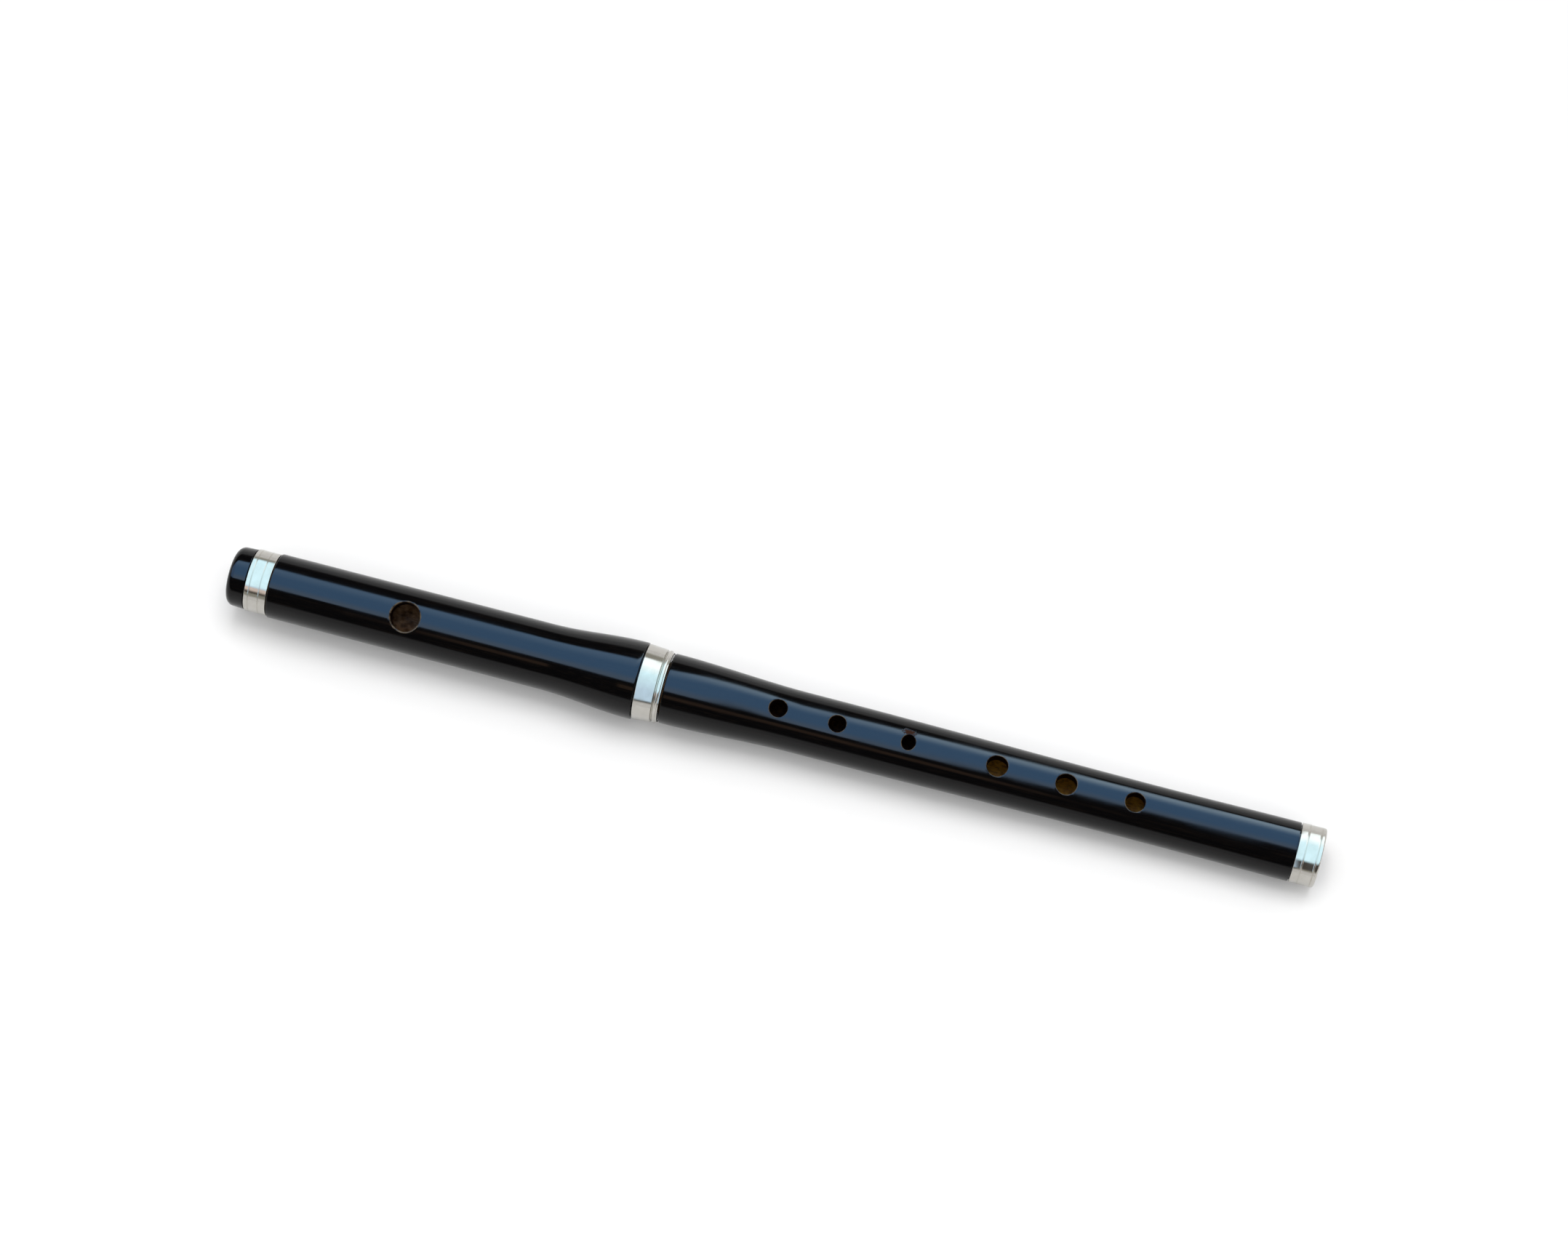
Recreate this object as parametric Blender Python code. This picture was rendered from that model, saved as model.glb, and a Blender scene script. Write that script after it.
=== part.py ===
"""Keyless wooden Irish flute in high D, in two joints, with three nickel-silver rings.

The bore axis lies on X, with the crown at -X and the foot at +X.
The finger holes face +Z, and the player sits on the -Y side.
The origin is on the bore axis, half way along the flute. All sizes are in metres.
"""

import math

import bmesh
import bpy
from mathutils import Matrix, Vector

# Clearances
FIT_GAP = 0.0003          # between pieces that touch
SHOULDER_GAP = 0.0005     # hairline between the socket's mouth and the body's shoulder

# Mesh fineness
SIDES = 32                # flats round a turned piece
HOLE_SIDES = 24           # flats round a drilled hole
BLEND_STEPS = 8           # stations along an S-shaped swell
ARC_STEPS = 4             # stations along a small rounded edge
SMOOTH_ANGLE = math.radians(30)
MERGE_DISTANCE = 0.00001

# Bores
HEAD_BORE_RADIUS = 0.0055
BODY_BORE_TOP_RADIUS = 0.0052
BODY_BORE_FOOT_RADIUS = 0.0040
BORE_EDGE = 0.0004        # bevel at the foot end of the bore

# Embouchure, in the head
EMBOUCHURE_RADIUS = 0.00415
EMBOUCHURE_EDGE = 0.0005
EMBOUCHURE_TO_MOUTH = 0.0751
HEAD_TURN = math.radians(11.25)   # the head is turned in towards the player

# Stopper, in the head's bore
STOPPER_SETBACK = 0.0110  # from the embouchure's centre to the stopper's face
STOPPER_LENGTH = 0.0125
STOPPER_ROOM = 0.0131     # free bore between the stopper and the crown's tenon
STOPPER_EDGE = 0.0005

# Head wood
HEAD_WALL = 0.00375
HEAD_SWELL = 0.00015      # the slow growth from the end ring to the bulge
HEAD_EDGE = 0.0003
BULGE_LENGTH = 0.0259
BULGE_NECK = 0.0014       # from the bulge's widest place to the socket ring
BULGE_EDGE = 0.0003       # rounding where the bulge meets the ring
SOCKET_WALL = 0.0018
SOCKET_DEPTH = 0.0255
SOCKET_EDGE = 0.0003

# Crown, a push-in cap
CROWN_LENGTH = 0.0055
CROWN_TAPER = 0.00025
CROWN_ROUNDING = 0.0022
CROWN_TENON_LENGTH = 0.0100
CROWN_TENON_EDGE = 0.0003
CROWN_CORK_START = 0.0020
CROWN_CORK_LENGTH = 0.0065

# Cork laps on both tenons
CORK_THICKNESS = 0.0009
CORK_EDGE = 0.0002
CORK_PROUD = 0.0003       # how far a lap stands out of its tenon

# Body wood
TENON_WALL = 0.0011       # wood left under the cork lap
TENON_END_GAP = 0.0010
TENON_EDGE = 0.0003
TENON_CORK_START = 0.0040
TENON_CORK_LENGTH = 0.0165
SHOULDER_LEDGE = 0.00225  # how far the shoulder reaches out over the socket
SHOULDER_EDGE = 0.00035
SHOULDER_FLAT = 0.0008
SHOULDER_BLEND = 0.0380
UPPER_STRAIGHT = 0.0120
UPPER_WALL = 0.00355
LOWER_WALL = 0.00415
FOOT_WALL = 0.00440
FOOT_FLARE = 0.0487       # from the thinnest place to the foot's end
FOOT_EDGE = 0.0002

# Finger holes: (from the one before, width along the bore, width across it)
FINGER_HOLES = (
    (0.0322, 0.0051, 0.0051),
    (0.0170, 0.0049, 0.0049),
    (0.0204, 0.0039, 0.0045),
    (0.0254, 0.0059, 0.0059),
    (0.0197, 0.0059, 0.0059),
    (0.0196, 0.0055, 0.0055),
)
FINGER_HOLE_EDGE = 0.00025
LAST_HOLE_TO_FOOT = 0.0532

# Head end ring
END_RING_WIDTH = 0.0064
END_RING_WALL = 0.0009
END_RING_STEP = 0.0003    # the wood stands above the ring
END_RING_GROOVES = (0.20, 0.66)

# Socket ring
SOCKET_RING_BAND = 0.0056
SOCKET_RING_BEAD = 0.0012
SOCKET_RING_WALL = 0.0010
SOCKET_RING_TAPER = 0.0004
SOCKET_RING_LIP = 0.0003
SOCKET_RING_GROOVE = 0.0004       # depth of the groove beside the bead
SOCKET_RING_BEAD_ARC = (150, 20)  # degrees of the bead's round, 90 pointing outwards
BULGE_STEP = 0.00017      # the bulge stands above the ring

# Foot ring
FOOT_RING_WIDTH = 0.0070
FOOT_RING_WALL = 0.0007
FOOT_RING_STEP = 0.00005  # the ring stands above the wood
FOOT_RING_ROUNDING = 0.0006
FOOT_RING_GROOVES = (0.32, 0.82)
FOOT_RING_BEADING = 0.00006

# Turned lines and edges of the rings
GROOVE_WIDTH = 0.0004
GROOVE_DEPTH = 0.0002
RING_EDGE = 0.00015

# Finishes: colour, roughness, metallic
LACQUERED_WOOD = ((0.012, 0.011, 0.012, 1.0), 0.12, 0.0)
NICKEL_SILVER = ((0.80, 0.79, 0.76, 1.0), 0.14, 1.0)
CORK = ((0.47, 0.30, 0.16, 1.0), 0.85, 0.0)

# Lengths that follow from the pieces
HEAD_LENGTH = (
    EMBOUCHURE_TO_MOUTH + STOPPER_SETBACK + STOPPER_LENGTH + STOPPER_ROOM
    + CROWN_TENON_LENGTH - FIT_GAP
)
BODY_LENGTH = sum(hole[0] for hole in FINGER_HOLES) + LAST_HOLE_TO_FOOT
TOTAL_LENGTH = CROWN_LENGTH + FIT_GAP + HEAD_LENGTH + SHOULDER_GAP + BODY_LENGTH
TENON_LENGTH = SOCKET_DEPTH + SHOULDER_GAP - TENON_END_GAP
SOCKET_RING_WIDTH = SOCKET_RING_BAND + SOCKET_RING_BEAD + SOCKET_RING_LIP

# Places along the bore
CROWN_SEAT_X = -TOTAL_LENGTH / 2 + CROWN_LENGTH
SOCKET_MOUTH_X = CROWN_SEAT_X + FIT_GAP + HEAD_LENGTH
SHOULDER_X = SOCKET_MOUTH_X + SHOULDER_GAP

# Radii that follow, from the bore outwards
HEAD_RADIUS = HEAD_BORE_RADIUS + HEAD_WALL
END_RING_RADIUS = HEAD_RADIUS - END_RING_STEP
END_RING_INNER = END_RING_RADIUS - END_RING_WALL
CROWN_CORK_OUTER = HEAD_BORE_RADIUS - FIT_GAP
CROWN_CORK_INNER = CROWN_CORK_OUTER - CORK_THICKNESS
CROWN_RADIUS = END_RING_RADIUS - CROWN_TAPER
TENON_CORK_INNER = BODY_BORE_TOP_RADIUS + TENON_WALL + FIT_GAP
TENON_CORK_OUTER = TENON_CORK_INNER + CORK_THICKNESS
SOCKET_RADIUS = TENON_CORK_OUTER + FIT_GAP
SOCKET_RING_INNER = SOCKET_RADIUS + SOCKET_WALL + FIT_GAP
SOCKET_RING_RADIUS = SOCKET_RING_INNER + SOCKET_RING_WALL
BULGE_RADIUS = SOCKET_RING_RADIUS + BULGE_STEP
SHOULDER_RADIUS = SOCKET_RADIUS + SHOULDER_LEDGE
UPPER_RADIUS = BODY_BORE_TOP_RADIUS + UPPER_WALL
LOWER_RADIUS = BODY_BORE_FOOT_RADIUS + LOWER_WALL
FOOT_RADIUS = BODY_BORE_FOOT_RADIUS + FOOT_WALL
FOOT_RING_RADIUS = FOOT_RADIUS + FOOT_RING_STEP
FOOT_RING_INNER = FOOT_RING_RADIUS - FOOT_RING_WALL

# A hole's cutter starts inside the bore, half way up to its narrowest wall
CUTTER_FLOOR = BODY_BORE_FOOT_RADIUS / 2


def clear_scene():
    for obj in list(bpy.data.objects):
        bpy.data.objects.remove(obj, do_unlink=True)


def swell(start, end, steps=BLEND_STEPS):
    """Points of an S-shaped curve after start, up to end; each point is (x, radius)."""
    points = []
    for step in range(1, steps + 1):
        t = step / steps
        ease = t * t * (3 - 2 * t)
        points.append((start[0] + (end[0] - start[0]) * t, start[1] + (end[1] - start[1]) * ease))
    return points


def arc(centre, radius, start_deg, end_deg, steps=ARC_STEPS):
    """Points of an arc in the plane of (x, radius); 0 degrees points along +X."""
    points = []
    for step in range(steps + 1):
        angle = math.radians(start_deg + (end_deg - start_deg) * step / steps)
        points.append((centre[0] + radius * math.cos(angle), centre[1] + radius * math.sin(angle)))
    return points


def groove(centre_x, radius, beading=0.0):
    """A fine turned line; beading raises a low ridge along both of its edges."""
    half = GROOVE_WIDTH / 2
    line = [(centre_x, radius - GROOVE_DEPTH)]
    if beading:
        line = [(centre_x - half, radius + beading)] + line + [(centre_x + half, radius + beading)]
        half = GROOVE_WIDTH
    return [(centre_x - half, radius)] + line + [(centre_x + half, radius)]


def finish_mesh(mesh):
    """Smooth shading, with the turned corners kept sharp."""
    mesh.shade_smooth()
    mesh.set_sharp_from_angle(angle=SMOOTH_ANGLE)


def spin_profile(name, points, axis, sides):
    """Turns a profile round an axis. One that starts off the axis is closed into a ring."""
    bm = bmesh.new()
    turn = Matrix.Rotation(math.pi / sides, 4, axis)
    verts = [bm.verts.new(turn @ point) for point in points]
    pairs = list(zip(verts, verts[1:]))
    off_axis = points[0].cross(axis).length > MERGE_DISTANCE
    if off_axis:
        pairs.append((verts[-1], verts[0]))
    edges = [bm.edges.new(pair) for pair in pairs]
    bmesh.ops.spin(
        bm, geom=verts + edges, cent=(0, 0, 0), axis=axis,
        angle=math.tau, steps=sides, use_merge=True,
    )
    bmesh.ops.remove_doubles(bm, verts=bm.verts, dist=MERGE_DISTANCE)
    bmesh.ops.recalc_face_normals(bm, faces=bm.faces)
    mesh = bpy.data.meshes.new(name)
    bm.to_mesh(mesh)
    bm.free()
    return mesh


def make_material(name, finish):
    colour, roughness, metallic = finish
    material = bpy.data.materials.new(name)
    material.use_nodes = True
    shader = material.node_tree.nodes["Principled BSDF"]
    shader.inputs["Base Color"].default_value = colour
    shader.inputs["Roughness"].default_value = roughness
    shader.inputs["Metallic"].default_value = metallic
    material.diffuse_color = colour
    return material


def place(obj, parent, x):
    """Links an object on the bore axis, x along it from its parent."""
    bpy.context.collection.objects.link(obj)
    obj.parent = parent
    obj.location = (x, 0, 0)
    return obj


def turned_piece(name, profile, finish, parent, x):
    """A piece turned round the bore axis from (x, radius) points, placed at x."""
    points = [Vector((along, 0, radius)) for along, radius in profile]
    mesh = spin_profile(name, points, Vector((1, 0, 0)), SIDES)
    finish_mesh(mesh)
    mesh.materials.append(make_material(name + "_finish", finish))
    return place(bpy.data.objects.new(name, mesh), parent, x)


def joint_axis(name, parent, x, turn=0.0):
    """An empty on the bore axis that carries the pieces of one joint."""
    empty = place(bpy.data.objects.new(name, None), parent, x)
    empty.rotation_euler = (turn, 0, 0)
    return empty


def drill(obj, name, x, along, across, surface, edge):
    """Cuts an upright hole, along by across, with a small bevel where it meets the surface."""
    radius = along / 2
    top = surface + FIT_GAP
    outline = (
        (0, CUTTER_FLOOR),
        (radius, CUTTER_FLOOR),
        (radius, surface - edge),
        (radius + edge + top - surface, top),
        (0, top),
    )
    points = [Vector((out, 0, up)) for out, up in outline]
    mesh = spin_profile(name, points, Vector((0, 0, 1)), HOLE_SIDES)
    mesh.transform(Matrix.Diagonal((1, across / along, 1, 1)))
    cutter = place(bpy.data.objects.new(name, mesh), obj.parent, obj.location.x + x)
    cutter.hide_render = True
    cutter.display_type = "WIRE"
    cut = obj.modifiers.new(name, "BOOLEAN")
    cut.operation = "DIFFERENCE"
    cut.solver = "EXACT"
    cut.object = cutter


# Outer shapes of the wood, each as a function of the distance along it

def head_outline():
    """The head's outside, from the end ring's seat to the socket ring's seat."""
    ring_end = -HEAD_LENGTH + END_RING_WIDTH + FIT_GAP
    ring_start = -SOCKET_RING_WIDTH - FIT_GAP
    bulge_end = ring_start - BULGE_NECK
    bulge_start = (bulge_end - BULGE_LENGTH, HEAD_RADIUS + HEAD_SWELL)
    corner = (ring_start - BULGE_EDGE, BULGE_RADIUS - BULGE_EDGE)
    return (
        [(ring_end, HEAD_RADIUS - HEAD_EDGE), (ring_end + HEAD_EDGE, HEAD_RADIUS), bulge_start]
        + swell(bulge_start, (bulge_end, BULGE_RADIUS))
        + arc(corner, BULGE_EDGE, 90, 0)
    )


def body_outline():
    """The body's outside, from the shoulder to the foot ring's seat."""
    seat = BODY_LENGTH - FOOT_RING_WIDTH - FIT_GAP
    shoulder = (SHOULDER_FLAT, SHOULDER_RADIUS)
    upper = (SHOULDER_FLAT + SHOULDER_BLEND, UPPER_RADIUS)
    straight = (upper[0] + UPPER_STRAIGHT, UPPER_RADIUS)
    lower = (BODY_LENGTH - FOOT_FLARE, LOWER_RADIUS)
    return (
        [(0, SHOULDER_RADIUS - SHOULDER_EDGE), (SHOULDER_EDGE, SHOULDER_RADIUS), shoulder]
        + swell(shoulder, upper)
        + [straight]
        + swell(straight, lower)
        + swell(lower, (seat - FOOT_EDGE, FOOT_RADIUS))
        + [(seat, FOOT_RADIUS - FOOT_EDGE)]
    )


def radius_at(outline, x):
    """The outside radius at x, between the outline's stations."""
    for (x0, r0), (x1, r1) in zip(outline, outline[1:]):
        if x0 <= x <= x1:
            return r0 + (r1 - r0) * (x - x0) / (x1 - x0)
    return outline[-1][1]


def make_head_tube(head):
    seat = END_RING_INNER - FIT_GAP
    outside = head_outline()
    profile = (
        [(-HEAD_LENGTH, HEAD_BORE_RADIUS), (-HEAD_LENGTH, seat), (outside[0][0], seat)]
        + outside
        + [
            (outside[-1][0], SOCKET_RING_INNER - FIT_GAP),
            (0, SOCKET_RING_INNER - FIT_GAP),
            (0, SOCKET_RADIUS + SOCKET_EDGE),
            (-SOCKET_EDGE, SOCKET_RADIUS),
            (-SOCKET_DEPTH, SOCKET_RADIUS),
            (-SOCKET_DEPTH, HEAD_BORE_RADIUS),
        ]
    )
    tube = turned_piece("head_tube", profile, LACQUERED_WOOD, head, 0)
    width = 2 * EMBOUCHURE_RADIUS
    surface = radius_at(outside, -EMBOUCHURE_TO_MOUTH)
    drill(tube, "embouchure_cutter", -EMBOUCHURE_TO_MOUTH, width, width, surface, EMBOUCHURE_EDGE)


def make_head_end_ring(head):
    profile = [(0, END_RING_INNER), (0, END_RING_RADIUS - RING_EDGE), (RING_EDGE, END_RING_RADIUS)]
    for share in END_RING_GROOVES:
        profile += groove(share * END_RING_WIDTH, END_RING_RADIUS)
    profile += [
        (END_RING_WIDTH - RING_EDGE, END_RING_RADIUS),
        (END_RING_WIDTH, END_RING_RADIUS - RING_EDGE),
        (END_RING_WIDTH, END_RING_INNER),
    ]
    turned_piece("head_end_ring", profile, NICKEL_SILVER, head, -HEAD_LENGTH)


def make_head_socket_ring(head):
    band_end = SOCKET_RING_BAND - GROOVE_WIDTH
    end_radius = SOCKET_RING_RADIUS - SOCKET_RING_TAPER
    groove_radius = end_radius - SOCKET_RING_GROOVE
    bead_radius = SOCKET_RING_BEAD / 2
    bead_centre = (SOCKET_RING_BAND + bead_radius, end_radius - bead_radius)
    profile = [
        (0, SOCKET_RING_INNER),
        (0, SOCKET_RING_RADIUS - RING_EDGE),
        (RING_EDGE, SOCKET_RING_RADIUS),
        (band_end, end_radius),
        (band_end + GROOVE_WIDTH / 2, groove_radius),
    ]
    profile += arc(bead_centre, bead_radius, *SOCKET_RING_BEAD_ARC)
    lip_start = SOCKET_RING_WIDTH - SOCKET_RING_LIP
    profile += [
        (lip_start, groove_radius),
        (SOCKET_RING_WIDTH, groove_radius),
        (SOCKET_RING_WIDTH, SOCKET_RING_INNER),
    ]
    turned_piece("head_socket_ring", profile, NICKEL_SILVER, head, -SOCKET_RING_WIDTH)


def make_stopper_cork(head):
    radius = HEAD_BORE_RADIUS - FIT_GAP
    profile = [
        (-STOPPER_LENGTH, 0),
        (-STOPPER_LENGTH, radius - STOPPER_EDGE),
        (-STOPPER_LENGTH + STOPPER_EDGE, radius),
        (-STOPPER_EDGE, radius),
        (0, radius - STOPPER_EDGE),
        (0, 0),
    ]
    turned_piece("stopper_cork", profile, CORK, head, -EMBOUCHURE_TO_MOUTH - STOPPER_SETBACK)


def cork_lap(name, start, length, inner, outer, parent, x):
    """A tube of cork round a tenon, FIT_GAP clear of its groove at both ends."""
    low = start + FIT_GAP
    high = start + length - FIT_GAP
    profile = [
        (low, inner),
        (low, outer - CORK_EDGE),
        (low + CORK_EDGE, outer),
        (high - CORK_EDGE, outer),
        (high, outer - CORK_EDGE),
        (high, inner),
    ]
    turned_piece(name, profile, CORK, parent, x)


def make_crown(head):
    crown = joint_axis("crown_axis", head, -HEAD_LENGTH - FIT_GAP)
    tenon = CROWN_CORK_OUTER - CORK_PROUD
    lap_seat = CROWN_CORK_INNER - FIT_GAP
    lap_end = CROWN_CORK_START + CROWN_CORK_LENGTH
    cap_radius = CROWN_RADIUS - CROWN_TAPER
    corner = (-CROWN_LENGTH + CROWN_ROUNDING, cap_radius - CROWN_ROUNDING)
    profile = [(-CROWN_LENGTH, 0)]
    profile += arc(corner, CROWN_ROUNDING, 180, 90)
    profile += [
        (-RING_EDGE, CROWN_RADIUS),
        (0, CROWN_RADIUS - RING_EDGE),
        (0, tenon),
        (CROWN_CORK_START, tenon),
        (CROWN_CORK_START, lap_seat),
        (lap_end, lap_seat),
        (lap_end, tenon),
        (CROWN_TENON_LENGTH - CROWN_TENON_EDGE, tenon),
        (CROWN_TENON_LENGTH, tenon - CROWN_TENON_EDGE),
        (CROWN_TENON_LENGTH, 0),
    ]
    turned_piece("crown_cap", profile, LACQUERED_WOOD, crown, 0)
    cork_lap(
        "crown_cork", CROWN_CORK_START, CROWN_CORK_LENGTH,
        CROWN_CORK_INNER, CROWN_CORK_OUTER, crown, 0,
    )


def make_body_tube(body):
    tenon = TENON_CORK_OUTER - CORK_PROUD
    lap_seat = TENON_CORK_INNER - FIT_GAP
    lap_start = -TENON_CORK_START - TENON_CORK_LENGTH
    seat = FOOT_RING_INNER - FIT_GAP
    outside = body_outline()
    profile = (
        [
            (-TENON_LENGTH, BODY_BORE_TOP_RADIUS),
            (-TENON_LENGTH, tenon - TENON_EDGE),
            (-TENON_LENGTH + TENON_EDGE, tenon),
            (lap_start, tenon),
            (lap_start, lap_seat),
            (-TENON_CORK_START, lap_seat),
            (-TENON_CORK_START, tenon),
            (0, tenon),
        ]
        + outside
        + [
            (outside[-1][0], seat),
            (BODY_LENGTH, seat),
            (BODY_LENGTH, BODY_BORE_FOOT_RADIUS + BORE_EDGE),
            (BODY_LENGTH - BORE_EDGE, BODY_BORE_FOOT_RADIUS),
        ]
    )
    tube = turned_piece("body_tube", profile, LACQUERED_WOOD, body, 0)
    x = 0
    for number, (step, along, across) in enumerate(FINGER_HOLES, start=1):
        x += step
        cutter_name = "finger_hole_{}_cutter".format(number)
        drill(tube, cutter_name, x, along, across, radius_at(outside, x), FINGER_HOLE_EDGE)
    cork_lap(
        "tenon_cork", lap_start, TENON_CORK_LENGTH,
        TENON_CORK_INNER, TENON_CORK_OUTER, body, 0,
    )


def make_foot_ring(body):
    profile = [(0, FOOT_RING_INNER), (0, FOOT_RING_RADIUS - RING_EDGE), (RING_EDGE, FOOT_RING_RADIUS)]
    for share in FOOT_RING_GROOVES:
        profile += groove(share * FOOT_RING_WIDTH, FOOT_RING_RADIUS, FOOT_RING_BEADING)
    corner = (FOOT_RING_WIDTH - FOOT_RING_ROUNDING, FOOT_RING_RADIUS - FOOT_RING_ROUNDING)
    profile += arc(corner, FOOT_RING_ROUNDING, 90, 0)
    profile += [(FOOT_RING_WIDTH, FOOT_RING_INNER)]
    turned_piece("foot_ring", profile, NICKEL_SILVER, body, BODY_LENGTH - FOOT_RING_WIDTH)


def main():
    clear_scene()
    body = joint_axis("body_axis", None, SHOULDER_X)
    head = joint_axis("head_axis", None, SOCKET_MOUTH_X, HEAD_TURN)
    make_body_tube(body)
    make_foot_ring(body)
    make_head_tube(head)
    make_head_end_ring(head)
    make_head_socket_ring(head)
    make_stopper_cork(head)
    make_crown(head)


main()
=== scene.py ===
import math

import bmesh
import bpy
from mathutils import Matrix, Vector


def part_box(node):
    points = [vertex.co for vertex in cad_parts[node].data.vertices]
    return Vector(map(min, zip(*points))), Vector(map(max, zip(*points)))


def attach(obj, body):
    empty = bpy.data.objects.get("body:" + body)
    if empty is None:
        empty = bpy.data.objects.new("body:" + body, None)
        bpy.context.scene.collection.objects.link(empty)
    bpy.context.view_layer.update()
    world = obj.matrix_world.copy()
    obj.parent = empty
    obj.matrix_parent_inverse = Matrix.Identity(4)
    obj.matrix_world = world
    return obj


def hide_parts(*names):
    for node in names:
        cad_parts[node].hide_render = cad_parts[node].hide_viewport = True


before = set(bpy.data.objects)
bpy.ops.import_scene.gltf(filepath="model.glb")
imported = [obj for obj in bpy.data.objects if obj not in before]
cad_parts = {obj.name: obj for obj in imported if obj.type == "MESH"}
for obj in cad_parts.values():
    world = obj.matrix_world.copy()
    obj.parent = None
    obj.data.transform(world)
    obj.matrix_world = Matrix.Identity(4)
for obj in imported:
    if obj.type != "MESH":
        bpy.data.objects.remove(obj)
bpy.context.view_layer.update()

mm = 0.001
boreAxis = Vector((1, 0, 0))
headTurn = math.radians(11.25)      # the head is turned in towards the player
fineness = {"sides": 192, "holeSides": 96, "arcSteps": 6, "stepLength": 0.8, "sharpAngle": 32}
print("frame loaded with", len(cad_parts), "nodes")


# Materials

def addNode(tree, kind, inputs=None, **settings):
    made = tree.nodes.new(kind)
    for name, value in settings.items():
        setattr(made, name, value)
    for name, value in (inputs or {}).items():
        if isinstance(value, bpy.types.NodeSocket):
            tree.links.new(value, made.inputs[name])
        else:
            made.inputs[name].default_value = value
    return made


def addNoise(tree, size, detail=3.0, roughness=0.55, turn=0.0):
    # cloudy pattern; size is its grain in millimetres along x, y and z
    coords = addNode(tree, "ShaderNodeTexCoord").outputs["Object"]
    scale = [1 / (side * mm) for side in size]
    placed = addNode(tree, "ShaderNodeMapping", {"Vector": coords, "Rotation": (turn, 0, 0), "Scale": scale})
    settings = {"Vector": placed.outputs[0], "Scale": 1.0, "Detail": detail, "Roughness": roughness}
    return addNode(tree, "ShaderNodeTexNoise", settings).outputs["Fac"]


def addMath(tree, operation, *values):
    return addNode(tree, "ShaderNodeMath", dict(enumerate(values)), operation=operation).outputs[0]


def addRange(tree, value, low, high, outLow, outHigh, smooth=False):
    inputs = {"Value": value, "From Min": low, "From Max": high, "To Min": outLow, "To Max": outHigh}
    kind = "SMOOTHSTEP" if smooth else "LINEAR"
    return addNode(tree, "ShaderNodeMapRange", inputs, interpolation_type=kind).outputs[0]


def mixColour(tree, factor, first, second):
    made = addNode(tree, "ShaderNodeMix", data_type="RGBA")
    for socket, value in ((made.inputs[0], factor), (made.inputs[6], first), (made.inputs[7], second)):
        if isinstance(value, bpy.types.NodeSocket):
            tree.links.new(value, socket)
        else:
            socket.default_value = value
    return made.outputs[2]


def addBump(tree, height, depth, under=None):
    # depth is the height of the relief in millimetres
    inputs = {"Height": height, "Strength": 1.0, "Distance": depth * mm}
    if under:
        inputs["Normal"] = under
    return addNode(tree, "ShaderNodeBump", inputs).outputs[0]


def newMaterial(name):
    material = bpy.data.materials.new(name)
    material.use_nodes = True
    tree = material.node_tree
    return material, tree, tree.nodes["Principled BSDF"]


def setShader(tree, shader, **sockets):
    for name, value in sockets.items():
        socket = shader.inputs[name.replace("_", " ")]
        if isinstance(value, bpy.types.NodeSocket):
            tree.links.new(value, socket)
        else:
            socket.default_value = value


lacquer = {
    "black": (0.0017, 0.0016, 0.0018, 1), "brown": (0.0055, 0.0040, 0.0032, 1),
    "grain": (9.0, 0.32, 0.32), "roughness": (0.08, 0.15), "ior": 1.27,
    "waves": (13.0, 6.0, 6.0), "waveDepth": 0.015, "peel": (1.1, 1.1, 1.1), "peelDepth": 0.0006,
    "wornAt": (39.2, 2.95, 8.15), "wornSize": (1.9, 0.95, 1.5), "wornGrain": (0.45, 0.45, 0.45),
    "worn": (0.035, 0.017, 0.012, 1), "wornRoughness": 0.5, "wornDepth": 0.05, "wornShine": 0.0,
}


def addWornPatch(tree):
    # the thin place beside the third finger hole, where a finger has rubbed
    coords = addNode(tree, "ShaderNodeTexCoord").outputs["Object"]
    inputs = {
        "Vector": coords, "Scale": [1 / (side * mm) for side in lacquer["wornSize"]],
        "Location": [-at / side for at, side in zip(lacquer["wornAt"], lacquer["wornSize"])],
    }
    placed = addNode(tree, "ShaderNodeMapping", inputs).outputs[0]
    distance = addNode(tree, "ShaderNodeVectorMath", {0: placed}, operation="LENGTH").outputs["Value"]
    chips = addNoise(tree, lacquer["wornGrain"], detail=4)
    ragged = addRange(tree, chips, 0.3, 0.7, -0.4, 0.4)
    mask = addRange(tree, addMath(tree, "ADD", distance, ragged), 0.6, 1.15, 1, 0, smooth=True)
    return mask, addMath(tree, "MULTIPLY", mask, chips)


def makeLacquer():
    # ebonised wood under gloss lacquer: faint grain, slow waves left by polishing
    material, tree, shader = newMaterial("gloss lacquer over black wood")
    grain = addNoise(tree, lacquer["grain"], detail=5)
    streaks = addRange(tree, grain, 0.5, 0.75, 0.0, 1.0)
    wood = mixColour(tree, streaks, lacquer["black"], lacquer["brown"])
    smears = addNoise(tree, (16, 5, 5))
    low, high = lacquer["roughness"]
    waves = addBump(tree, addNoise(tree, lacquer["waves"], detail=1), lacquer["waveDepth"])
    peel = addBump(tree, addNoise(tree, lacquer["peel"], detail=1), lacquer["peelDepth"], waves)
    gloss = addRange(tree, smears, 0.35, 0.65, low, high)
    worn, chipped = addWornPatch(tree)
    matt = addMath(tree, "MULTIPLY", worn, lacquer["wornRoughness"])
    shine = addRange(tree, worn, 0, 1, 0.5, lacquer["wornShine"])
    setShader(tree, shader,
              Base_Color=mixColour(tree, worn, wood, lacquer["worn"]),
              Roughness=addMath(tree, "MAXIMUM", gloss, matt),
              IOR=lacquer["ior"], Specular_IOR_Level=shine,
              Normal=addBump(tree, chipped, -lacquer["wornDepth"], peel))
    return material


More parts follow.
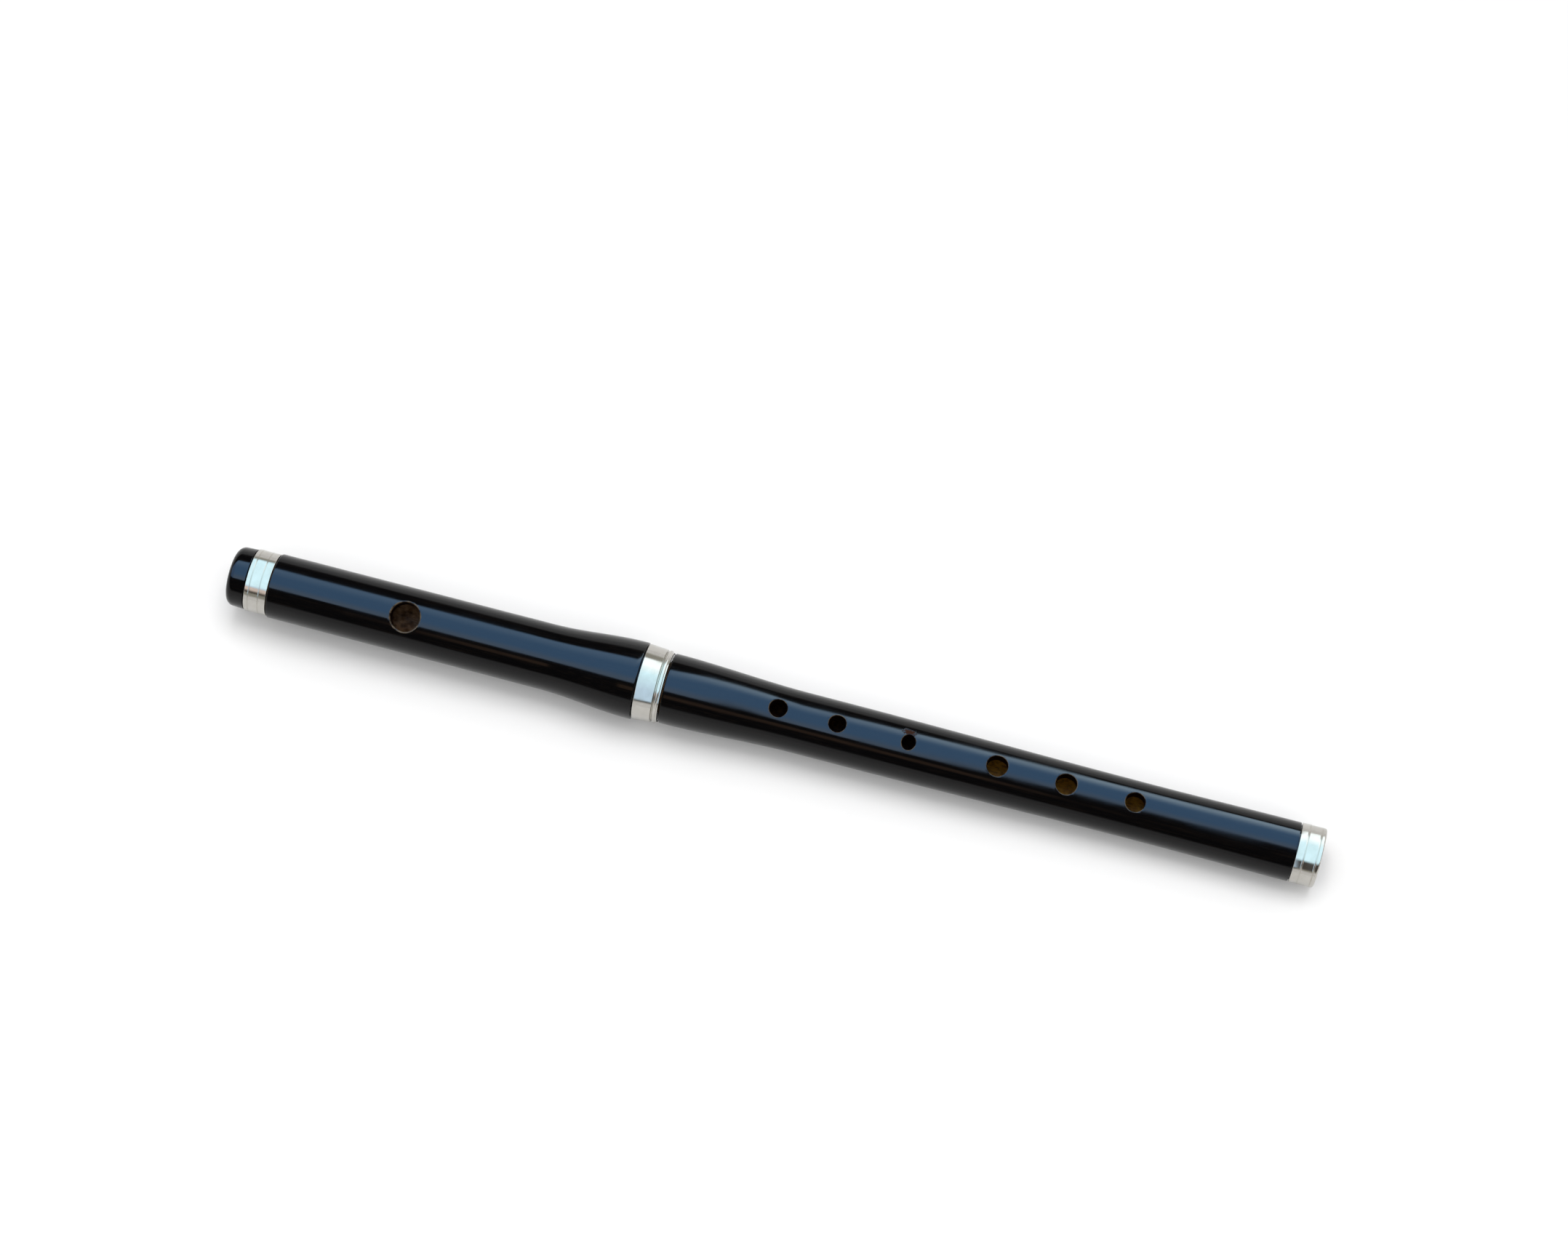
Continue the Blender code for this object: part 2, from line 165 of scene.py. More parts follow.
bareWood = {
    "light": (0.400, 0.220, 0.024, 1), "dark": (0.260, 0.118, 0.008, 1), "pore": (0.085, 0.036, 0.006, 1),
    "brownLight": (0.240, 0.150, 0.086, 1), "brownDark": (0.036, 0.015, 0.007, 1),
    "mottles": (2.4, 1.8, 1.8), "mottling": (0.34, 0.66),
    "black": (0.014, 0.003, 0.002, 1), "blotches": (1.3, 1.3, 1.3), "blotchShare": 0.8,
    "lowerHalf": (0.046, 0.058), "blackFrom": (-0.028, -0.018),
    "grain": (3.5, 0.7, 0.7), "pores": (1.6, 0.12, 0.12), "relief": 0.02, "shine": 0.06,
}


def makeBareWood():
    # wood inside the bore, cut along the grain: brown in the head, near black below it, golden at the foot
    material, tree, shader = newMaterial("bare wood of the bore")
    grain = addNoise(tree, bareWood["grain"], detail=6)
    pores = addNoise(tree, bareWood["pores"], detail=2)
    streaks = addRange(tree, grain, 0.32, 0.68, 0, 1)
    golden = mixColour(tree, streaks, bareWood["dark"], bareWood["light"])
    mottles = addRange(tree, addNoise(tree, bareWood["mottles"]), *bareWood["mottling"], 0, 1)
    brown = mixColour(tree, mottles, bareWood["brownDark"], bareWood["brownLight"])
    coords = addNode(tree, "ShaderNodeTexCoord").outputs["Object"]
    along = addNode(tree, "ShaderNodeSeparateXYZ", {"Vector": coords}).outputs["X"]
    darkened = addRange(tree, along, *bareWood["blackFrom"], 0, 1, smooth=True)
    upper = mixColour(tree, darkened, brown, bareWood["black"])
    wood = mixColour(tree, addRange(tree, along, *bareWood["lowerHalf"], 0, 1, smooth=True), upper, golden)
    blotches = addRange(tree, addNoise(tree, bareWood["blotches"]), 0.45, 0.7, 0, bareWood["blotchShare"])
    poreMask = addMath(tree, "MAXIMUM", blotches, addRange(tree, pores, 0.56, 0.64, 0, 1))
    setShader(tree, shader,
              Base_Color=mixColour(tree, poreMask, wood, bareWood["pore"]),
              Roughness=addRange(tree, grain, 0.3, 0.7, 0.45, 0.65),
              Specular_IOR_Level=bareWood["shine"], Normal=addBump(tree, pores, -bareWood["relief"]))
    return material


# the near-black wall colour is partly painted shade, for the dark inside of the holes
holeWall = {
    "stainAndShade": (0.0040, 0.0008, 0.0005, 1), "thin": (0.017, 0.007, 0.004, 1),
    "grain": (5.0, 0.5, 0.5), "relief": 0.02, "shine": 0.01,
}


def makeHoleWall():
    # the walls of the holes, black like the outside and a little thin in places; the black is partly painted
    # shade, standing in for the shade inside the holes
    material, tree, shader = newMaterial("stained and shaded wall of the holes")
    grain = addNoise(tree, holeWall["grain"], detail=5)
    thin = addRange(tree, grain, 0.5, 0.7, 0, 1)
    setShader(tree, shader,
              Base_Color=mixColour(tree, thin, holeWall["stainAndShade"], holeWall["thin"]),
              Roughness=addRange(tree, thin, 0, 1, 0.5, 0.65),
              Specular_IOR_Level=holeWall["shine"], Normal=addBump(tree, grain, holeWall["relief"]))
    return material


holeRim = {
    "brown": (0.080, 0.056, 0.030, 1), "black": (0.008, 0.005, 0.004, 1), "patches": (1.5, 1.5, 1.5),
    "roughness": (0.25, 0.5), "ior": 1.22,
}


def makeHoleRim():
    # the eased edge of a hole, where the black has rubbed thin
    material, tree, shader = newMaterial("rubbed edge of the holes")
    patches = addRange(tree, addNoise(tree, holeRim["patches"], detail=4), 0.4, 0.6, 0, 1)
    setShader(tree, shader,
              Base_Color=mixColour(tree, patches, holeRim["black"], holeRim["brown"]),
              Roughness=addRange(tree, patches, 0, 1, *holeRim["roughness"]), IOR=holeRim["ior"])
    return material


nickel = {
    "bright": (0.47, 0.455, 0.425, 1), "dull": (0.41, 0.395, 0.36, 1), "roughness": (0.09, 0.17),
    "tarnish": (0.36, 0.34, 0.30, 1), "tarnishRoughness": 0.2,
    "turning": (0.14, 14.0, 14.0), "turningDepth": 0.0005, "haze": (3.0, 3.0, 3.0),
    "dents": (5.0, 4.0, 4.0), "dentDepth": 0.006,
}


def makeNickel():
    # polished nickel silver with the fine rings of turning and a little haze
    material, tree, shader = newMaterial("polished nickel silver")
    turning = addNoise(tree, nickel["turning"], detail=3)
    haze = addRange(tree, addNoise(tree, nickel["haze"], detail=5), 0.35, 0.8, 0, 1)
    low, high = nickel["roughness"]
    dents = addBump(tree, addNoise(tree, nickel["dents"], detail=1), nickel["dentDepth"])
    setShader(tree, shader,
              Base_Color=mixColour(tree, haze, nickel["bright"], nickel["dull"]),
              Metallic=1.0, Roughness=addRange(tree, haze, 0, 1, low, high),
              Normal=addBump(tree, turning, nickel["turningDepth"], dents))
    return material


def makeTarnish():
    # the bottoms of the turned lines, which polish doesn't reach
    material, tree, shader = newMaterial("tarnished turned line")
    haze = addRange(tree, addNoise(tree, nickel["haze"], detail=5), 0.35, 0.65, 0, 1)
    setShader(tree, shader,
              Base_Color=mixColour(tree, haze, nickel["tarnish"], nickel["dull"]),
              Metallic=1.0, Roughness=nickel["tarnishRoughness"])
    return material


cork = {
    "light": (0.560, 0.370, 0.205, 1), "dark": (0.330, 0.190, 0.090, 1), "fleck": (0.060, 0.032, 0.018, 1),
    "granules": 1.1, "flecks": (0.7, 0.7, 0.7), "relief": 0.05, "shine": 0.08,
}


def makeCork():
    # natural cork: packed granules with dark flecks
    material, tree, shader = newMaterial("natural cork")
    coords = addNode(tree, "ShaderNodeTexCoord").outputs["Object"]
    cells = addNode(tree, "ShaderNodeTexVoronoi", {"Vector": coords, "Scale": 1 / (cork["granules"] * mm)})
    tone = addNode(tree, "ShaderNodeSeparateColor", {"Color": cells.outputs["Color"]}).outputs[0]
    flecks = addNoise(tree, cork["flecks"], detail=4)
    body = mixColour(tree, tone, cork["dark"], cork["light"])
    setShader(tree, shader,
              Base_Color=mixColour(tree, addRange(tree, flecks, 0.6, 0.68, 0, 1), body, cork["fleck"]),
              Roughness=0.85, Specular_IOR_Level=cork["shine"],
              Normal=addBump(tree, flecks, -cork["relief"]))
    return material


lacquerFinish = makeLacquer()
bareFinish = makeBareWood()
wallFinish = makeHoleWall()
rimFinish = makeHoleRim()
nickelFinish = makeNickel()
grooveFinish = makeTarnish()
corkFinish = makeCork()
woodFinishes = (lacquerFinish, bareFinish, wallFinish, rimFinish)
print("materials made")


# Turned pieces: a profile is a list of corners (x, radius, rounding), in millimetres

def run(x0, r0, x1, r1, swelling):
    # close steps from one radius to the next, in a straight line or as a swell
    corners = []
    steps = math.ceil((x1 - x0) / fineness["stepLength"])
    for step in range(1, steps + 1):
        t = step / steps
        share = t * t * (3 - 2 * t) if swelling else t
        corners.append((x0 + (x1 - x0) * t, r0 + (r1 - r0) * share, 0))
    return corners


def roundedPoints(corners):
    # a corner with a rounding becomes an arc that touches both of its sides
    points = []
    for index, (x, radius, rounding) in enumerate(corners):
        here = Vector((x, radius))
        if not rounding:
            points.append(here)
            continue
        before = (Vector(corners[index - 1][:2]) - here).normalized()
        after = (Vector(corners[(index + 1) % len(corners)][:2]) - here).normalized()
        half = before.angle(after) / 2
        centre = here + (before + after).normalized() * rounding / math.sin(half)
        first = (here + before * rounding / math.tan(half) - centre).normalized()
        last = (here + after * rounding / math.tan(half) - centre).normalized()
        for step in range(fineness["arcSteps"] + 1):
            points.append(centre + first.slerp(last, step / fineness["arcSteps"]) * rounding)
    return points


def groove(centre, radius, width, depth, ridge=0.0):
    half = width / 2
    cut = [
        (centre - half, radius + ridge, 0.05), (centre, radius - depth, 0.05),
        (centre + half, radius + ridge, 0.05),
    ]
    if ridge:
        cut = [(centre - width, radius, 0)] + cut + [(centre + width, radius, 0)]
    return cut


def spinMesh(name, corners, start):
    # spins a profile round the bore; one that starts off the axis is closed into a ring
    bm = bmesh.new()
    verts = [bm.verts.new((start + p.x * mm, 0, p.y * mm)) for p in roundedPoints(corners)]
    pairs = list(zip(verts, verts[1:]))
    if corners[0][1] > 0:
        pairs.append((verts[-1], verts[0]))
    edges = [bm.edges.new(pair) for pair in pairs]
    bmesh.ops.spin(bm, geom=verts + edges, cent=(0, 0, 0), axis=boreAxis, angle=math.tau,
                   steps=fineness["sides"], use_merge=True)
    bmesh.ops.remove_doubles(bm, verts=bm.verts, dist=0.001 * mm)
    bmesh.ops.recalc_face_normals(bm, faces=bm.faces)
    mesh = bpy.data.meshes.new(name)
    bm.to_mesh(mesh)
    bm.free()
    return mesh


def addPiece(name, mesh, finishes):
    for finish in finishes:
        mesh.materials.append(finish)
    piece = bpy.data.objects.new(name, mesh)
    bpy.context.scene.collection.objects.link(piece)
    return piece


def finishPiece(piece, cutter=None):
    # cuts the holes, shades the piece and settles its modifiers into its mesh
    if cutter:
        cut = piece.modifiers.new("holes", "BOOLEAN")
        cut.operation = "DIFFERENCE"
        cut.solver = "EXACT"
        cut.object = cutter
        settleModifiers(piece)
        bpy.data.objects.remove(cutter)
    piece.data.shade_smooth()
    piece.data.set_sharp_from_angle(angle=math.radians(fineness["sharpAngle"]))
    weighted = piece.modifiers.new("flat faces stay flat", "WEIGHTED_NORMAL")
    weighted.keep_sharp = True
    weighted.weight = 100
    settleModifiers(piece)


def settleModifiers(piece):
    graph = bpy.context.evaluated_depsgraph_get()
    finished = bpy.data.meshes.new_from_object(piece.evaluated_get(graph), depsgraph=graph)
    piece.modifiers.clear()
    piece.data = finished


# Holes: the cutter's wall rolls over onto the round outside of the tube

rollOver = {"steps": 6, "lastAngle": 78, "runOut": 1.4, "floor": 2.0, "above": 1.0}


def outsideAt(outline, x):
    for (x0, r0, _), (x1, r1, _) in zip(outline, outline[1:]):
        if x0 <= x <= x1:
            return r0 + (r1 - r0) * (x - x0) / (x1 - x0)
    return outline[-1][1]


def addHoleCutter(bm, x, along, across, edge, outline):
    made = bmesh.ops.create_circle(bm, segments=fineness["holeSides"], radius=1, cap_ends=True)
    ring = made["verts"]
    rim = list({e for v in ring for e in v.link_edges})
    angles = {v: math.atan2(v.co.y, v.co.x) for v in ring}

    def settle(grow, rise, flat=None):
        for v in ring:
            px = x + (along / 2 + grow) * math.cos(angles[v])
            py = (across / 2 + grow) * math.sin(angles[v])
            pz = flat if flat is not None else math.sqrt(outsideAt(outline, px) ** 2 - py * py) + rise
            v.co = Vector((px, py, pz)) * mm

    settle(0, 0, rollOver["floor"])
    steps = [(0, -edge, 2)]
    for step in range(1, rollOver["steps"] + 1):
        angle = math.radians(rollOver["lastAngle"]) * step / rollOver["steps"]
        steps.append((edge * (1 - math.cos(angle)), -edge * (1 - math.sin(angle)), 3))
    grow, rise, _ = steps[-1]
    reach = rollOver["runOut"] * edge
    grow += reach * math.sin(angle)
    rise += reach * math.cos(angle)
    steps.append((grow, rise, 3))
    steps.append((grow, None, 3))
    for grow, rise, slotIndex in steps:
        grown = bmesh.ops.extrude_edge_only(bm, edges=rim)["geom"]
        olderAngles = angles
        ring = [g for g in grown if isinstance(g, bmesh.types.BMVert)]
        rim = [g for g in grown if isinstance(g, bmesh.types.BMEdge) and set(g.verts) <= set(ring)]
        angles = {}
        for v in ring:
            for e in v.link_edges:
                if e.other_vert(v) in olderAngles:
                    angles[v] = olderAngles[e.other_vert(v)]
        for g in grown:
            if isinstance(g, bmesh.types.BMFace):
                g.material_index = slotIndex
        settle(grow, rise, outsideAt(outline, x) + rollOver["above"] if rise is None else None)
    bmesh.ops.contextual_create(bm, geom=rim)


def addCutter(holes, edge, outline, start, turn):
    bm = bmesh.new()
    for x, along, across in holes:
        addHoleCutter(bm, x, along, across, edge, outline)
    bmesh.ops.recalc_face_normals(bm, faces=bm.faces)
    move = Matrix.Rotation(turn, 4, boreAxis) @ Matrix.Translation((start, 0, 0))
    bmesh.ops.transform(bm, matrix=move, verts=bm.verts)
    mesh = bpy.data.meshes.new("hole cutter")
    bm.to_mesh(mesh)
    bm.free()
    return addPiece("hole_cutter", mesh, woodFinishes)


def markFaces(mesh, slotIndex, isMarked):
    for face in mesh.polygons:
        if isMarked(face.center.x, math.hypot(face.center.y, face.center.z)):
            face.material_index = slotIndex


def addTurned(name, corners, start, finish, bodyName, node, lines=None):
    mesh = spinMesh(name, corners, start)
    finishes = (finish,)
    if lines:
        finishes = (finish, grooveFinish)
        places, width = lines
        markFaces(mesh, 1, lambda x, _: any(abs(x - start - place * mm) < width / 2 * mm for place in places))
    piece = addPiece(name, mesh, finishes)
    finishPiece(piece)
    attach(piece, bodyName)
    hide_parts(node)
    return piece


# Body: tenon, shoulder, slow taper and foot

body = {
    "tenonLength": 25.0, "tenonRadius": 7.2, "lap": (4.5, 21.0), "lapSeat": 6.3,
    "shoulderRadius": 10.05, "shoulderEdge": 0.35, "shoulderFlat": 0.8, "shoulderBlend": 38.0,
    "straight": 12.0, "upperRadius": 8.75, "lowerRadius": 8.15, "footRadius": 8.40,
    "footFlare": 48.7, "footEdge": 0.2, "ringSeat": 7.45, "ringWidth": 7.3,
    "boreTop": 5.2, "boreFoot": 4.0, "boreEdge": 0.4, "holeEdge": 0.25,
    "holes": (                      # from the shoulder, width along the bore, width across it
        (32.2, 5.1, 5.1), (49.2, 4.9, 4.9), (69.6, 3.9, 4.5),
        (95.0, 5.9, 5.9), (114.7, 5.9, 5.9), (134.3, 5.5, 5.5),
    ),
}


def bodyOutline(length):
    seat = length - body["ringWidth"]
    flat = body["tenonLength"] + body["shoulderFlat"]
    upper = flat + body["shoulderBlend"]
    straight = upper + body["straight"]
    lower = length - body["footFlare"]
    return (
        [(flat, body["shoulderRadius"], 0)]
        + run(flat, body["shoulderRadius"], upper, body["upperRadius"], True)
        + run(upper, body["upperRadius"], straight, body["upperRadius"], False)
        + run(straight, body["upperRadius"], lower, body["lowerRadius"], True)
        + run(lower, body["lowerRadius"], seat - body["footEdge"], body["footRadius"], True)
        + [(seat, body["footRadius"], body["footEdge"] / 2)]
    )


def makeBodyTube():
    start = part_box("body_tube")[0].x
    length = (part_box("body_tube")[1].x - start) / mm
    tenon = body["tenonLength"]
    lapStart, lapEnd = body["lap"]
    outline = bodyOutline(length)
    corners = (
        [
            (0, body["boreTop"], 0), (0, body["tenonRadius"], 0.3),
            (lapStart, body["tenonRadius"], 0), (lapStart, body["lapSeat"], 0),
            (lapEnd, body["lapSeat"], 0), (lapEnd, body["tenonRadius"], 0),
            (tenon, body["tenonRadius"], 0), (tenon, body["shoulderRadius"], body["shoulderEdge"]),
        ]
        + outline
        + [
            (outline[-1][0], body["ringSeat"], 0), (length, body["ringSeat"], 0),
            (length, body["boreFoot"], body["boreEdge"]),
        ]
    )
    mesh = spinMesh("body", corners, start)
    shoulder = start + tenon * mm
    # inside the bore and on the tenon the wood is bare
    markFaces(mesh, 1, lambda x, radius: x < shoulder - 0.1 * mm or radius < (body["boreTop"] + 0.2) * mm)
    tube = addPiece("body_tube_wood", mesh, woodFinishes)
    holes = [(tenon + x, along, across) for x, along, across in body["holes"]]
    finishPiece(tube, addCutter(holes, body["holeEdge"], outline, start, 0))
    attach(tube, "body")
    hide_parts("body_tube")


makeBodyTube()
print("body turned and drilled")


# Head: plain tube, embouchure and the bulb round the socket

head = {
    "ringSeat": 7.75, "ringWidth": 6.7, "radius": 9.25, "edge": 0.3, "neckRadius": 9.40,
    "bulgeRadius": 11.07, "bulgeLength": 25.9, "bulgeNeck": 1.4, "bulgeEdge": 0.3,
    "socketRing": 7.4, "socketSeat": 9.6, "socketRadius": 7.8, "socketEdge": 0.3, "socketDepth": 25.5,
    "bore": 5.5, "embouchure": 8.3, "embouchureToMouth": 75.1, "embouchureEdge": 0.5,
}


def makeHeadTube():
    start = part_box("head_tube")[0].x
    length = (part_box("head_tube")[1].x - start) / mm
    ring = length - head["socketRing"]
    bulge = ring - head["bulgeNeck"]
    neck = bulge - head["bulgeLength"]
    deep = length - head["socketDepth"]
    outline = (
        [(head["ringWidth"], head["radius"], head["edge"])]
        + run(head["ringWidth"], head["radius"], neck, head["neckRadius"], False)
        + run(neck, head["neckRadius"], bulge, head["bulgeRadius"], True)
        + [(ring, head["bulgeRadius"], head["bulgeEdge"])]
    )
    corners = (
        [(0, head["bore"], 0), (0, head["ringSeat"], 0), (head["ringWidth"], head["ringSeat"], 0)]
        + outline
        + [
            (ring, head["socketSeat"], 0), (length, head["socketSeat"], 0),
            (length, head["socketRadius"], head["socketEdge"]),
            (deep, head["socketRadius"], 0), (deep, head["bore"], 0),
        ]
    )
    mesh = spinMesh("head", corners, start)
    insideRadius = (head["socketRadius"] + 0.1) * mm
    markFaces(mesh, 1, lambda x, radius: radius < insideRadius and x > start + 0.1 * mm)
    tube = addPiece("head_tube_wood", mesh, woodFinishes)
    hole = (length - head["embouchureToMouth"], head["embouchure"], head["embouchure"])
    finishPiece(tube, addCutter([hole], head["embouchureEdge"], outline, start, headTurn))
    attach(tube, "head")
    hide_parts("head_tube")


makeHeadTube()
print("head turned and drilled")


# Rings

ringEdge = 0.15
endRing = {"width": 6.4, "radius": 8.95, "inner": 8.05, "grooves": (0.20, 0.66), "line": (0.4, 0.04)}
socketRing = {
    "width": 7.1, "band": 5.6, "radius": 10.90, "endRadius": 10.50, "inner": 9.9,
    "line": (0.4, 0.4), "bead": 0.6, "lip": 0.3,
}
footRing = {
    "width": 7.0, "radius": 8.45, "inner": 7.75, "rounding": 0.6, "grooves": (0.32, 0.82),
    "line": (0.4, 0.04), "ridge": 0.06,
}


def makeEndRing():
    width, radius = endRing["width"], endRing["radius"]
    corners = [(0, endRing["inner"], 0), (0, radius, ringEdge)]
    for share in endRing["grooves"]:
        corners += groove(share * width, radius, *endRing["line"])
    corners += [(width, radius, ringEdge), (width, endRing["inner"], 0)]
    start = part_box("head_end_ring")[0].x
    lines = ([share * width for share in endRing["grooves"]], endRing["line"][0])
    return addTurned("head_end_ring_metal", corners, start, nickelFinish,
                     "head", "head_end_ring", lines)


def makeSocketRing():
    bead, band = socketRing["bead"], socketRing["band"]
    lineWidth, lineDepth = socketRing["line"]
    low = socketRing["endRadius"] - lineDepth
    lip = socketRing["width"] - socketRing["lip"]
    corners = [
        (0, socketRing["inner"], 0), (0, socketRing["radius"], ringEdge),
        (band - lineWidth, socketRing["endRadius"], 0.05), (band - lineWidth / 2, low, 0.04),
    ]
    for step in range(13):
        angle = math.radians(150 - 130 * step / 12)
        corners.append((
            band + bead + bead * math.cos(angle), socketRing["endRadius"] - bead + bead * math.sin(angle), 0,
        ))
    corners += [(lip, low, 0), (socketRing["width"], low, 0.08), (socketRing["width"], socketRing["inner"], 0)]
    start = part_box("head_socket_ring")[0].x
    return addTurned("head_socket_ring_metal", corners, start, nickelFinish,
                     "head", "head_socket_ring", ([band - lineWidth / 2], lineWidth))


def makeFootRing():
    width, radius = footRing["width"], footRing["radius"]
    corners = [(0, footRing["inner"], 0), (0, radius, ringEdge)]
    for share in footRing["grooves"]:
        corners += groove(share * width, radius, *footRing["line"], footRing["ridge"])
    corners += [(width, radius, footRing["rounding"]), (width, footRing["inner"], 0)]
    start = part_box("foot_ring")[0].x
    lines = ([share * width for share in footRing["grooves"]], footRing["line"][0])
    return addTurned("foot_ring_metal", corners, start, nickelFinish,
                     "body", "foot_ring", lines)


rings = [makeEndRing(), makeSocketRing(), makeFootRing()]
print("rings turned")


# Crown, stopper and the cork laps

crown = {
    "length": 5.5, "radius": 8.70, "endRadius": 8.45, "rounding": 2.2, "tenonLength": 10.0,
    "tenonRadius": 4.9, "lap": (2.0, 8.5), "lapSeat": 4.0,
}
stopper = {"length": 12.5, "radius": 5.2, "edge": 0.5}
tenonCork = {"length": 15.9, "inner": 6.6, "outer": 7.5, "edge": 0.2}
crownCork = {"length": 5.9, "inner": 4.3, "outer": 5.2, "edge": 0.2}


def makeCrown():
    seat = crown["length"]
    tip = seat + crown["tenonLength"]
    lapStart, lapEnd = (seat + x for x in crown["lap"])
    tenon = crown["tenonRadius"]
    corners = [
        (0, 0, 0), (0, crown["endRadius"], crown["rounding"]), (seat, crown["radius"], ringEdge),
        (seat, tenon, 0), (lapStart, tenon, 0), (lapStart, crown["lapSeat"], 0),
        (lapEnd, crown["lapSeat"], 0), (lapEnd, tenon, 0), (tip, tenon, 0.3), (tip, 0, 0),
    ]
    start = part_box("crown_cap")[0].x
    cap = addTurned("crown_cap_wood", corners, start, lacquerFinish, "crown", "crown_cap")
    cap.data.materials.append(bareFinish)
    shoulder = start + (seat + 0.05) * mm
    markFaces(cap.data, 1, lambda x, _: x > shoulder)


def makeStopper():
    length, radius, edge = stopper["length"], stopper["radius"], stopper["edge"]
    corners = [(0, 0, 0), (0, radius, edge), (length, radius, edge), (length, 0, 0)]
    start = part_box("stopper_cork")[0].x
    addTurned("stopper_natural_cork", corners, start, corkFinish, "stopper", "stopper_cork")


def makeCorkLap(name, lap, bodyName, node):
    corners = [
        (0, lap["inner"], 0), (0, lap["outer"], lap["edge"]),
        (lap["length"], lap["outer"], lap["edge"]), (lap["length"], lap["inner"], 0),
    ]
    addTurned(name, corners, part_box(node)[0].x, corkFinish, bodyName, node)


makeCrown()
makeStopper()
makeCorkLap("tenon_cork_lap", tenonCork, "tenon_lap", "tenon_cork")
makeCorkLap("crown_cork_lap", crownCork, "crown_lap", "crown_cork")
print("crown and corks made")


# Floor, light and camera

floor = {
    "radius": 9.0, "colour": (0.92, 0.92, 0.92, 1), "glow": (0.0, 1.0), "glowOver": (0.10, 0.34),
    "longer": 1.6,                  # the clean white starts this much further out along the flute
}
studio = {"horizon": (1.0, 1.0, 1.0, 1), "ceiling": (0.030, 0.029, 0.028, 1), "rise": (0.11, 0.22)}
lampDistance = 2.0

# the big soft box that the polish shows as a blue band; angles run over the flute, from the player's side
skyBox = {
    "tilt": -17.0, "width": 6.2, "length": 9.0, "shift": -2.9,
    "core": (1.92, 4.16, 7.60, 1), "bright": (8.9, 12.0, 14.7, 1), "grey": (3.38, 4.55, 6.12, 1),
    "lower": 62.5, "lowerSoft": (1.5, 5.0), "lowerDrift": 21.0, "lowerSpan": (-0.03, 0.19),
    "upper": 135.0, "upperSoft": 4.0, "upperDrift": 28.0, "upperSpan": (-0.25, 0.21),
    "edgeGlow": (-32.0, -4.0), "edgeShare": (0.2, 0.9), "edgeSpan": (-0.3, 0.1),
    "lowGlow": (24.0, 2.0), "lowShare": 0.85, "far": (1.75, 3.10, 5.60, 1), "farSpan": (-1.2, -2.2),
}
warmStrip = {
    "tilt": 45.0, "width": 0.60, "length": 0.54, "shift": -0.18,
    "radiance": (0.97, 0.57, 0.345), "angles": (40.0, 50.0), "soft": 2.5,
}
# seen only by the rings: pale above the player's side of them, with a dark and a rose line below
ringCard = {
    "height": 0.5, "width": 6.0, "length": 3.0, "zones": (-0.14, 0.10), "soft": 0.03,
    "pale": (1.42, 2.00, 2.30, 1), "white": (2.15, 2.38, 2.52, 1), "dim": (0.98, 1.32, 1.66, 1),
    "grey": (0.42, 0.41, 0.36, 1), "rose": (1.19, 1.00, 0.92, 1), "dark": (0.075, 0.062, 0.050, 1),
    "endRing": (
        (0, "grey"), (22, "grey"), (25, "dark"), (29, "dark"), (37, "rose"), (45, "rose"), (48, "dim"),
        (54, "pale"), (154, "pale"), (161, "grey"),
    ),
    "socketRing": (
        (0, "grey"), (9, "grey"), (11, "dark"), (14, "dark"), (19, "dim"), (50, "dim"), (100, "pale"),
        (125, "white"), (147, "white"), (153, "grey"),
    ),
    "footRing": (
        (0, "grey"), (14, "grey"), (18, "dark"), (45, "dark"), (54, "pale"), (116, "pale"), (140, "white"),
        (164, "white"), (174, "grey"),
    ),
    "halfTurn": 180.0,
}
keyLamp = {"tilt": -14.0, "width": 1.0, "length": 1.0, "radiance": (4.4, 4.4, 4.4)}
fillLamp = {"tilt": -4.0, "width": 6.0, "length": 6.0, "radiance": (1.16, 1.16, 1.16)}


def addFloor():
    # the flute rests on its bulb and on its foot ring, so the floor slopes a little under it
    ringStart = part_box("head_socket_ring")[0].x
    bulb = Vector((ringStart - 1.7 * mm, 0, -head["bulgeRadius"] * mm))
    foot = Vector((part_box("foot_ring")[1].x - 1.0 * mm, 0, -(footRing["radius"] + footRing["ridge"]) * mm))
    slope = math.atan2(foot.z - bulb.z, foot.x - bulb.x)
    bm = bmesh.new()
    bmesh.ops.create_circle(bm, segments=96, radius=floor["radius"], cap_ends=True)
    move = Matrix.Translation(bulb) @ Matrix.Rotation(-slope, 4, "Y")
    bmesh.ops.transform(bm, matrix=move, verts=bm.verts)
    bmesh.ops.recalc_face_normals(bm, faces=bm.faces)
    mesh = bpy.data.meshes.new("floor")
    bm.to_mesh(mesh)
    bm.free()
    addPiece("floor", mesh, (makeFloorFinish(),))


